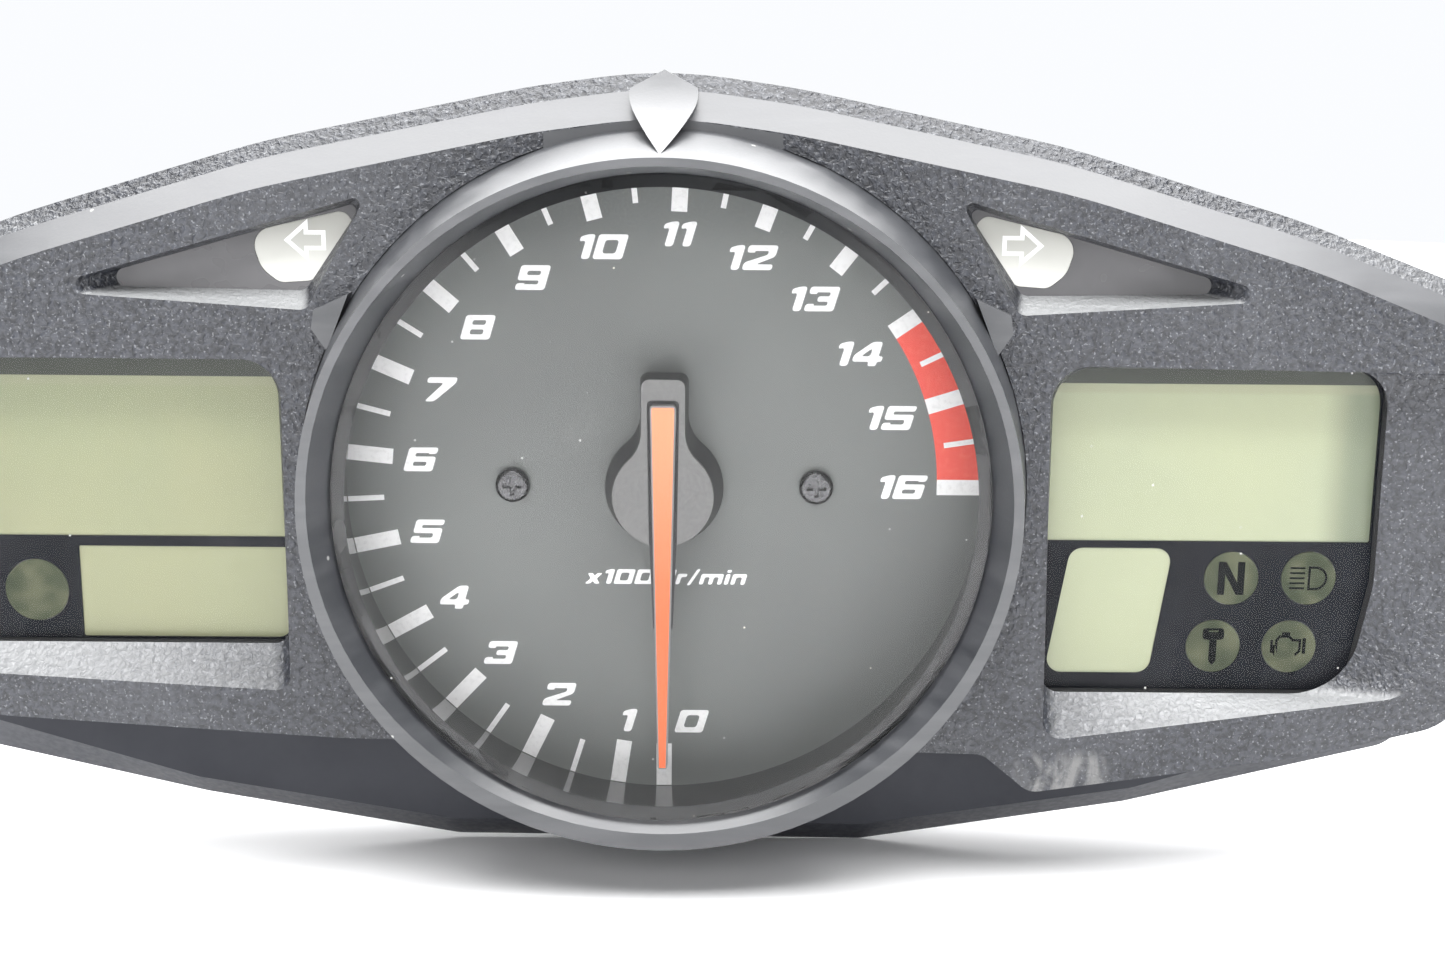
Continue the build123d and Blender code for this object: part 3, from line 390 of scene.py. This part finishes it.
def hub_cap():
    """Satin grey cap face over a black foot, groove and carrier."""
    s = Shader("pointer_satin", rough=0.46)
    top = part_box("pointer_hub")[0][1]
    face = s.span(s.axis("Y"), top + 0.25 * MM, top + 0.45 * MM, 1.0, 0.0)
    fine = s.noise(2400, detail=3)
    cap = s.mix(s.span(fine, 0.3, 0.7), (0.14, 0.14, 0.14), (0.17, 0.17, 0.168))
    s.set("Base Color", s.mix(face, (0.022, 0.022, 0.025), cap))
    s.bump(fine, 0.06, 0.02 * MM)
    return s.mat


def circuit_mask():
    """Green solder mask with the shadow of copper tracks under it."""
    s = Shader("board_mask", rough=0.35)
    tracks = s.cells(260, feature="DISTANCE_TO_EDGE")
    s.set("Base Color", s.mix(s.span(tracks, 0.02, 0.10), (0.045, 0.20, 0.09),
                              (0.018, 0.10, 0.045)))
    s.bump(tracks, 0.2, 0.05 * MM)
    return s.mat


def windings():
    """Enamelled copper wire laid in turns."""
    s = Shader("winding_copper", rough=0.3, Metallic=1.0)
    turns = s.noise(500, detail=1, stretch=(1, 12, 1))
    s.set("Base Color", s.mix(turns, (0.45, 0.17, 0.07), (0.80, 0.38, 0.18)))
    s.bump(turns, 0.6, 0.15 * MM)
    return s.mat


GRAIN = grained_plastic()
TRIM = satin_trim()
CASE = moulded("case_satin", (0.020, 0.022, 0.030), (0.032, 0.034, 0.043), rough=0.46,
               scale=1100, strength=0.35, Specular_IOR_Level=0.3)
DIAL = dial_face()
GLOSS = gloss_black()
CLEAR = clear_cover("tach_lens_clear", haze=0.005, ior=1.2)
WINDOW = clear_cover("display_lens_clear", haze=0.003, ior=1.12)
MASK = smoked_mask("mask_smoked", (0.006, 0.007, 0.010), (0.016, 0.017, 0.022), 0.06)
TURN_MASK = smoked_mask("turn_mask_smoked", (0.075, 0.074, 0.078), (0.135, 0.133, 0.138), 0.5)
LAMP = lamp_filter()
MILKY = milky_diffuser()
ORANGE = needle_paint()
WHITE_INK = printed("ink_white", (0.93, 0.93, 0.93), (0.80, 0.80, 0.80))
RED_INK = printed("ink_red", (0.86, 0.080, 0.052), (0.90, 0.13, 0.090))
DARK_INK = printed("ink_dark", (0.006, 0.007, 0.008), (0.014, 0.014, 0.014),
                   Specular_IOR_Level=0.03)
SCREW = metal("screw_black", (0.020, 0.020, 0.022), (0.16, 0.16, 0.165), rough=0.28)
STEEL = metal("steel_turned", (0.42, 0.42, 0.43), (0.68, 0.68, 0.70))
BRASS = metal("brass_turned", (0.55, 0.38, 0.14), (0.82, 0.64, 0.30))
ALUMINIUM = metal("can_aluminium", (0.55, 0.55, 0.57), (0.75, 0.75, 0.77))
COPPER = windings()
BOARD = circuit_mask()
HUB = hub_cap()
WHITE = moulded("reflector_white", (0.74, 0.74, 0.72), (0.84, 0.84, 0.82), rough=0.4)
FRAME = moulded("display_frame_grey", (0.035, 0.036, 0.038), (0.055, 0.056, 0.058))
MOVEMENT = moulded("movement_resin", (0.62, 0.61, 0.55), (0.74, 0.73, 0.67), rough=0.45)
RUBBER = moulded("rubber_black", (0.012, 0.012, 0.012), (0.026, 0.026, 0.026), rough=0.72,
                 scale=1500, strength=0.5)
CHIP = moulded("epoxy_black", (0.012, 0.012, 0.013), (0.022, 0.022, 0.024), rough=0.55,
               scale=2600)
MAGNET = moulded("magnet_sintered", (0.05, 0.05, 0.052), (0.09, 0.09, 0.095), rough=0.5,
                 scale=2200)
RESIN = moulded("led_resin", (0.80, 0.76, 0.48), (0.88, 0.86, 0.66), rough=0.25)
BUTTON = moulded("button_satin", (0.022, 0.023, 0.026), (0.036, 0.037, 0.041), rough=0.42,
                 scale=2000)
CONNECTOR = moulded("connector_grey", (0.42, 0.42, 0.40), (0.52, 0.52, 0.50), rough=0.5)
SHADE_STRIP_Z = 14.5 * MM         # lower edge of the painted shade strip on both displays
LCD_LEFT = lcd_face("lcd_left", SHADE_STRIP_Z, (0.235, 0.256, 0.150), (0.265, 0.270, 0.155))
LCD_RIGHT = lcd_face("lcd_right", SHADE_STRIP_Z, (0.315, 0.345, 0.235), (0.34, 0.365, 0.235),
                     side=(86.5 * MM, 92.5 * MM))

FINISHES = {
    GRAIN: ["front_bezel"],
    TRIM: ["ring_trim"],
    CASE: ["rear_case"],
    DIAL: ["dial_plate"],
    GLOSS: ["dial_shroud"],
    CLEAR: ["tach_lens"],
    WINDOW: ["left_display_lens", "right_display_lens"],
    MASK: ["left_display_mask", "right_display_mask"],
    TURN_MASK: ["left_turn_mask", "right_turn_mask"],
    LAMP: ["lamp_filters"],
    MILKY: ["left_turn_diffuser", "right_turn_diffuser", "left_backlight", "right_backlight"],
    ORANGE: ["pointer_blade"],
    HUB: ["pointer_hub"],
    SCREW: ["dial_screws"],
    STEEL: ["board_screws", "case_screws", "pointer_spindle", "shield_can", "mount_inserts"],
    BRASS: ["front_bush", "rear_bush", "connector_pins"],
    ALUMINIUM: ["capacitors"],
    COPPER: ["sine_coil", "cosine_coil"],
    BOARD: ["circuit_board"],
    WHITE: [
        "light_chassis", "lamp_tubes", "left_turn_tunnel", "right_turn_tunnel",
        "dial_light_guide",
    ],
    FRAME: ["left_display_frame", "right_display_frame"],
    MOVEMENT: ["movement_frame", "movement_bobbin"],
    RUBBER: ["lcd_contact_strips", "case_seal", "mount_grommets", "breather"],
    CHIP: ["processor", "driver_chips", "tact_switches"],
    MAGNET: ["rotor_magnet"],
    RESIN: ["backlight_leds", "turn_leds", "warning_leds"],
    BUTTON: ["select_button", "adjust_button"],
    CONNECTOR: ["connector_header"],
    LCD_LEFT: ["speed_lcd_cell", "trip_lcd_cell"],
    LCD_RIGHT: ["temperature_lcd_cell", "clock_lcd_cell"],
}
for material, names in FINISHES.items():
    for name in names:
        NODES[name].data.materials.clear()
        NODES[name].data.materials.append(material)


# ---------------------------------------------------------------- flat marks
CORNER_STEPS = 4            # segments of a rounded corner
MITRE_LIMIT = 0.35          # keeps a ribbon's sharp corners from running far out
MARK_THICK = 0.04 * MM


def arc(centre, radius, start, end, steps):
    """Points on an arc, angles in degrees counted clockwise from straight down."""
    return [
        (
            centre[0] - radius * math.sin(math.radians(start + (end - start) * i / steps)),
            centre[1] - radius * math.cos(math.radians(start + (end - start) * i / steps)),
        )
        for i in range(steps + 1)
    ]


def softened(loop, radius):
    """The loop with its corners rounded by up to radius."""
    rounded = []
    for i, corner in enumerate(loop):
        here = Vector(corner)
        before = Vector(loop[i - 1]) - here
        after = Vector(loop[(i + 1) % len(loop)]) - here
        reach = min(radius, 0.45 * before.length, 0.45 * after.length)
        first = here + before.normalized() * reach
        last = here + after.normalized() * reach
        for k in range(CORNER_STEPS + 1):
            t = k / CORNER_STEPS
            point = first * (1 - t) ** 2 + here * 2 * t * (1 - t) + last * t ** 2
            rounded.append((point.x, point.y))
    return rounded


def marks(name, loops, y, material, body="case"):
    """One flat piece from closed (x, z) loops in millimetres, its back at y. A loop inside
    another one is a hole."""
    curve = bpy.data.curves.new(name + "_outline", "CURVE")
    curve.dimensions = "2D"
    curve.fill_mode = "BOTH"
    curve.extrude = MARK_THICK / 2
    for loop in loops:
        spline = curve.splines.new("POLY")
        spline.points.add(len(loop) - 1)
        for point, (x, z) in zip(spline.points, loop):
            point.co = (x * MM, z * MM, 0, 1)
        spline.use_cyclic_u = True
    source = bpy.data.objects.new(name + "_outline", curve)
    bpy.context.scene.collection.objects.link(source)
    mesh = bpy.data.meshes.new_from_object(source)
    bpy.data.objects.remove(source)
    middle = Matrix.Translation((0, y - MARK_THICK / 2, 0))
    mesh.transform(middle @ Matrix.Rotation(math.pi / 2, 4, "X"))
    mesh.name = name
    mesh.polygons.foreach_set("use_smooth", [False] * len(mesh.polygons))
    mesh.materials.clear()
    mesh.materials.append(material)
    piece = bpy.data.objects.new(name, mesh)
    bpy.context.scene.collection.objects.link(piece)
    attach(piece, body)


def ribbon(points, width, closed=False):
    """Outline of a line of even width with mitred corners: one loop, or two if it is closed."""
    count = len(points)
    left, right = [], []
    for i, point in enumerate(points):
        here = Vector(point)
        before = Vector(points[i - 1]) if closed or i else None
        after = Vector(points[(i + 1) % count]) if closed or i < count - 1 else None
        ways = [(here - before).normalized()] if before is not None else []
        ways += [(after - here).normalized()] if after is not None else []
        along = sum(ways, Vector((0, 0))).normalized()
        across = Vector((-along.y, along.x))
        reach = width / 2 / max(MITRE_LIMIT, abs(across.dot(Vector((-ways[0].y, ways[0].x)))))
        left.append(tuple(here + across * reach))
        right.append(tuple(here - across * reach))
    return [left, right] if closed else [left + right[::-1]]


# ---------------------------------------------------------------- lettering
WIDE, UPRIGHT, BAR = 1.20, 0.33, 0.23      # glyph width and stroke widths, for a height of 1
FAR = WIDE - UPRIGHT       # where the right-hand upright starts
GLYPH_GAP, GLYPH_SLANT, GLYPH_CORNER = 0.13, 0.30, 0.13


def slab(x0, z0, x1, z1):
    """Rectangle as a loop."""
    return [(x0, z0), (x1, z0), (x1, z1), (x0, z1)]


SIX = [
    [(0, 0), (WIDE, 0), (WIDE, 0.62), (UPRIGHT, 0.62), (UPRIGHT, 1 - BAR), (FAR, 1 - BAR),
     (FAR, 0.73), (WIDE, 0.73), (WIDE, 1), (0, 1)],
    slab(UPRIGHT, BAR, FAR, 0.40),
]
GLYPHS = {
    "0": [slab(0, 0, WIDE, 1), slab(UPRIGHT, BAR, FAR, 1 - BAR)],
    "1": [[(0.24, 0), (0.58, 0), (0.58, 1), (0.30, 1), (0, 0.90), (0, 0.70), (0.24, 0.74)]],
    "2": [[(0, 0), (WIDE, 0), (WIDE, BAR), (0.50, BAR), (WIDE, 0.54), (WIDE, 1), (0, 1), (0, 0.70),
           (UPRIGHT, 0.70), (UPRIGHT, 1 - BAR), (FAR, 1 - BAR), (FAR, 0.62), (0, 0.30)]],
    "3": [[(0, 0), (WIDE, 0), (WIDE, 1), (0, 1), (0, 0.70), (UPRIGHT, 0.70), (UPRIGHT, 1 - BAR),
           (FAR, 1 - BAR), (FAR, 0.61), (0.42, 0.61), (0.42, 0.39), (FAR, 0.39), (FAR, BAR),
           (UPRIGHT, BAR), (UPRIGHT, 0.30), (0, 0.30)]],
    "4": [[(0.68, 0), (1.02, 0), (1.02, 0.18), (WIDE, 0.18), (WIDE, 0.40), (1.02, 0.40), (1.02, 1),
           (0.62, 1), (0, 0.44), (0, 0.18), (0.68, 0.18)],
          [(0.68, 0.40), (0.68, 0.74), (0.30, 0.40)]],
    "5": [[(0, 0), (WIDE, 0), (WIDE, 0.64), (UPRIGHT, 0.64), (UPRIGHT, 1 - BAR), (WIDE, 1 - BAR),
           (WIDE, 1), (0.02, 1), (0.02, 0.42), (FAR, 0.42), (FAR, BAR), (UPRIGHT, BAR),
           (UPRIGHT, 0.30), (0, 0.30)]],
    "6": SIX,
    "7": [[(0, 1 - BAR), (0.70, 1 - BAR), (0.10, 0), (0.50, 0), (WIDE, 0.78), (WIDE, 1), (0, 1)]],
    "8": [slab(0, 0, WIDE, 1), slab(UPRIGHT, 0.21, FAR, 0.41), slab(UPRIGHT, 0.60, FAR, 0.79)],
    "9": [[(WIDE - x, 1 - z) for x, z in loop] for loop in SIX],
    "x": [[(0, 0), (0.36, 0), (0.50, 0.20), (0.64, 0), (1, 0), (0.69, 0.36), (1, 0.72),
           (0.64, 0.72), (0.50, 0.52), (0.36, 0.72), (0, 0.72), (0.31, 0.36)]],
    "r": [[(0, 0), (0.28, 0), (0.28, 0.50), (0.62, 0.50), (0.62, 0.72), (0, 0.72)]],
    "/": [[(0, -0.06), (0.22, -0.06), (0.62, 1.04), (0.40, 1.04)]],
    "m": [[(0, 0), (0.28, 0), (0.28, 0.50), (0.60, 0.50), (0.60, 0), (0.88, 0), (0.88, 0.50),
           (1.20, 0.50), (1.20, 0), (1.48, 0), (1.48, 0.72), (0, 0.72)]],
    "i": [slab(0, 0, 0.28, 0.72), slab(0, 0.82, 0.28, 1)],
    "n": [[(0, 0), (0.28, 0), (0.28, 0.50), (0.66, 0.50), (0.66, 0), (0.94, 0), (0.94, 0.72),
           (0, 0.72)]],
    "N": [[(0, 0), (0.21, 0), (0.21, 0.62), (0.55, 0), (0.78, 0), (0.78, 1), (0.57, 1),
           (0.57, 0.38), (0.23, 1), (0, 1)]],
}


def glyph_width(glyph):
    """Width of one glyph of height 1, without its slant."""
    return max(x for loop in GLYPHS[glyph] for x, _ in loop)


def lettering(text, centre, height, slant=GLYPH_SLANT, gap=GLYPH_GAP, corner=GLYPH_CORNER):
    """Loops of a line of glyphs centred on a point."""
    pen, loops = 0.0, []
    for glyph in text:
        for loop in GLYPHS[glyph]:
            soft = softened(loop, corner)
            loops.append([(pen + x + slant * z, z) for x, z in soft])
        pen += glyph_width(glyph) + gap
    shift_x = (pen - gap + slant) / 2
    return [
        [(centre[0] + (x - shift_x) * height, centre[1] + (z - 0.5) * height) for x, z in loop]
        for loop in loops
    ]


def text_width(text):
    """Width of a line of glyphs of height 1, without its slant."""
    return sum(glyph_width(glyph) + GLYPH_GAP for glyph in text) - GLYPH_GAP


# ---------------------------------------------------------------- dial print
FULL_SCALE = 16             # thousands of revolutions a minute
SCALE_END_DEG = 270.0       # the full-scale tick, clockwise from straight down
STEP_DEG = 17.426           # from one thousand to the next
DIAL_EDGE = 42.55
MAJOR_R, MINOR_R = 36.5, 37.7
MAJOR_WIDE, MINOR_WIDE = 2.1, 0.72
NUMERAL = 3.25              # height
NUMERAL_GAP = 1.15          # between a numeral and its tick
ZERO_NUMERAL_DEG = -6.5     # the zero stands beside its tick
CAPTION_AT, CAPTION = (0.3, -12.7), 2.05


def scale_angle(value):
    """Degrees clockwise from straight down for a reading; zero sits apart, straight down."""
    return 0.0 if value == 0 else SCALE_END_DEG - STEP_DEG * (FULL_SCALE - value)


def tick(value, inner, wide):
    """One tick as a loop, running out to the dial's edge."""
    turn = math.radians(scale_angle(value))
    out, side = (-math.sin(turn), -math.cos(turn)), (-math.cos(turn), math.sin(turn))
    corners = ((inner, -1), (DIAL_EDGE, -1), (DIAL_EDGE, 1), (inner, 1))
    return [
        (out[0] * r + side[0] * s * wide / 2, out[1] * r + side[1] * s * wide / 2)
        for r, s in corners
    ]


RED_FROM = 14
majors = [tick(n, MAJOR_R, MAJOR_WIDE) for n in range(FULL_SCALE + 1)]
minors = [tick(n + 0.5, MINOR_R, MINOR_WIDE) for n in range(1, FULL_SCALE)]
marks("dial_ticks", majors + minors, DIAL_Y - PRINT_LIFT, WHITE_INK)

red_start, red_end = scale_angle(RED_FROM), scale_angle(FULL_SCALE)
red_band = (
    arc((0, 0), DIAL_EDGE, red_start, red_end, 40)
    + arc((0, 0), MAJOR_R, red_end, red_start, 40)
)
marks("dial_red_zone", [red_band], DIAL_Y, RED_INK)

numeral_loops = []
for n in range(FULL_SCALE + 1):
    half_wide = (text_width(str(n)) + GLYPH_SLANT) * NUMERAL / 2
    turn = math.radians(scale_angle(n) if n else ZERO_NUMERAL_DEG)
    reach = MAJOR_R - NUMERAL_GAP
    reach = reach - abs(math.sin(turn)) * half_wide - abs(math.cos(turn)) * NUMERAL / 2
    numeral_loops += lettering(str(n), (-reach * math.sin(turn), -reach * math.cos(turn)), NUMERAL)
marks("dial_numerals", numeral_loops, DIAL_Y - PRINT_LIFT, WHITE_INK)

caption = lettering("x1000r/min", CAPTION_AT, CAPTION, gap=0.16)
marks("dial_caption", caption, DIAL_Y - PRINT_LIFT, WHITE_INK)

# ---------------------------------------------------------------- turn arrows
ARROW = [(2.35, 0), (-0.1, 2.15), (-0.1, 1.0), (-2.35, 1.0), (-2.35, -1.0), (-0.1, -1.0),
         (-0.1, -2.15)]
ARROW_X, ARROW_Z = 46.1, 32.7       # middle of the right arrow
for side_name, sign in (("left", -1), ("right", 1)):
    shape = [(sign * (ARROW_X + x), ARROW_Z + z) for x, z in ARROW]
    marks(
        side_name + "_turn_arrow",
        ribbon(shape, 0.55, closed=True),
        front_of(side_name + "_turn_diffuser"),
        WHITE_INK,
    )

# ---------------------------------------------------------------- warning-lamp symbols
LAMP_Y = front_of("lamp_filters")
NEUTRAL_AT, BEAM_AT = (76.4, -11.9), (86.8, -11.8)
KEY_AT, ENGINE_AT = (74.5, -21.4), (84.8, -21.4)


def moved(loops, centre):
    """Loops drawn round the origin, moved to a centre."""
    return [[(centre[0] + x, centre[1] + z) for x, z in loop] for loop in loops]


neutral = lettering("N", NEUTRAL_AT, 4.6, slant=0.0, corner=0.02)
marks("neutral_symbol", neutral, LAMP_Y, DARK_INK)

beam_lens = [(0.1, -1.5)] + arc((0.9, 0), 1.5, 0, -180, 16)[1:-1] + [(0.1, 1.5)]
beam = ribbon(beam_lens, 0.30, closed=True)
beam += [slab(-2.5, z - 0.13, -0.5, z + 0.13) for z in (-1.4, -0.7, 0.0, 0.7, 1.4)]
marks("beam_symbol", moved(beam, BEAM_AT), LAMP_Y, DARK_INK)

key = [
    softened([(-1.45, 0.9), (1.45, 0.9), (1.45, 2.5), (-1.45, 2.5)], 0.5),
    softened([(-0.5, 0.95), (-0.5, -2.1), (0, -2.7), (0.5, -2.1), (0.5, 0.95)], 0.15),
    slab(-0.65, 1.95, 0.65, 2.2),
]
marks("key_symbol", moved(key, KEY_AT), LAMP_Y, DARK_INK)

engine = ribbon(
    [(-1.7, -1.2), (0.9, -1.2), (1.5, -0.6), (1.5, 0.9), (0.5, 0.9), (0.0, 1.4), (-1.3, 1.4),
     (-1.7, 0.8)],
    0.34,
    closed=True,
)
engine += [slab(-1.0, 1.55, 0.1, 2.0), slab(-2.5, -0.9, -2.15, 0.9), slab(1.85, -1.0, 2.3, 1.2),
           slab(-2.2, -0.2, -1.85, 0.2)]
marks("engine_symbol", moved(engine, ENGINE_AT), LAMP_Y, DARK_INK)

# ---------------------------------------------------------------- floor, light and camera
FLOOR_R = 1.1               # metres
FLOOR_SIDES = 96
floor_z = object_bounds()[0][2]
floor_mesh = bpy.data.meshes.new("floor")
circle = arc((0, 0), 1, 0, 360, FLOOR_SIDES)[:-1]
rim = [(x * FLOOR_R, y * FLOOR_R, floor_z) for x, y in circle]
floor_mesh.from_pydata(rim, [], [tuple(reversed(range(len(rim))))])
paper = Shader("floor_paper", color=(0.88, 0.88, 0.88), rough=0.8)
paper.set("Base Color", paper.mix(paper.noise(6, detail=3), (0.86, 0.86, 0.87),
                                  (0.90, 0.90, 0.90)))
floor_mesh.materials.append(paper.mat)
floor = bpy.data.objects.new("floor", floor_mesh)
bpy.context.scene.collection.objects.link(floor)

world = bpy.data.worlds.new("studio")
world.use_nodes = True
WORLD_LIGHT, WORLD_SEEN = 0.3, 1.0     # the room's light, and the backdrop as it is seen
sky = world.node_tree.nodes["Background"]
sky.inputs["Color"].default_value = (0.96, 0.975, 1.0, 1)
path = world.node_tree.nodes.new("ShaderNodeLightPath")
level = world.node_tree.nodes.new("ShaderNodeMapRange")
level.inputs["To Min"].default_value = WORLD_LIGHT
level.inputs["To Max"].default_value = WORLD_SEEN
world.node_tree.links.new(path.outputs["Is Camera Ray"], level.inputs["Value"])
world.node_tree.links.new(level.outputs["Result"], sky.inputs["Strength"])
bpy.context.scene.world = world


def softbox(name, place, aim, size, watts):
    """Rectangular area light at place, turned towards aim, in metres and watts."""
    light = bpy.data.lights.new(name, "AREA")
    light.shape = "RECTANGLE"
    light.size, light.size_y = size
    light.energy = watts
    lamp = bpy.data.objects.new(name, light)
    lamp.location = place
    lamp.visible_camera = False
    lamp.rotation_euler = (Vector(aim) - Vector(place)).to_track_quat("-Z", "Y").to_euler()
    bpy.context.scene.collection.objects.link(lamp)


softbox("key", (0.05, -0.36, 0.72), (0, -0.04, 0), (1.0, 0.45), 16)
softbox("top", (0, 0.38, 0.80), (0, 0, 0), (1.5, 0.7), 22)
softbox("backdrop_glow", (0, 1.45, 0.95), (0, 0, 0.02), (2.4, 1.0), 38)
softbox("front_fill", (-0.15, -1.25, 0.5), (0, 0, 0), (1.1, 0.6), 7)

LENS_MM, SENSOR_MM = 47.47, 36.0
CAMERA_AT = (7.46, -289.75, 54.43)         # millimetres
TILT, YAW, ROLL = 12.186, 0.068, -0.460    # degrees, the tilt downwards
camera_data = bpy.data.cameras.new("camera")
camera_data.lens = LENS_MM
camera_data.sensor_width = SENSOR_MM
camera_data.clip_start = 0.01
camera = bpy.data.objects.new("camera", camera_data)
camera.matrix_world = (
    Matrix.Translation(Vector(CAMERA_AT) * MM)
    @ Matrix.Rotation(math.radians(90 - TILT), 4, "X")
    @ Matrix.Rotation(math.radians(-YAW), 4, "Y")
    @ Matrix.Rotation(math.radians(-ROLL), 4, "Z")
)
bpy.context.scene.collection.objects.link(camera)
bpy.context.scene.camera = camera
bpy.context.scene.view_settings.view_transform = "Standard"
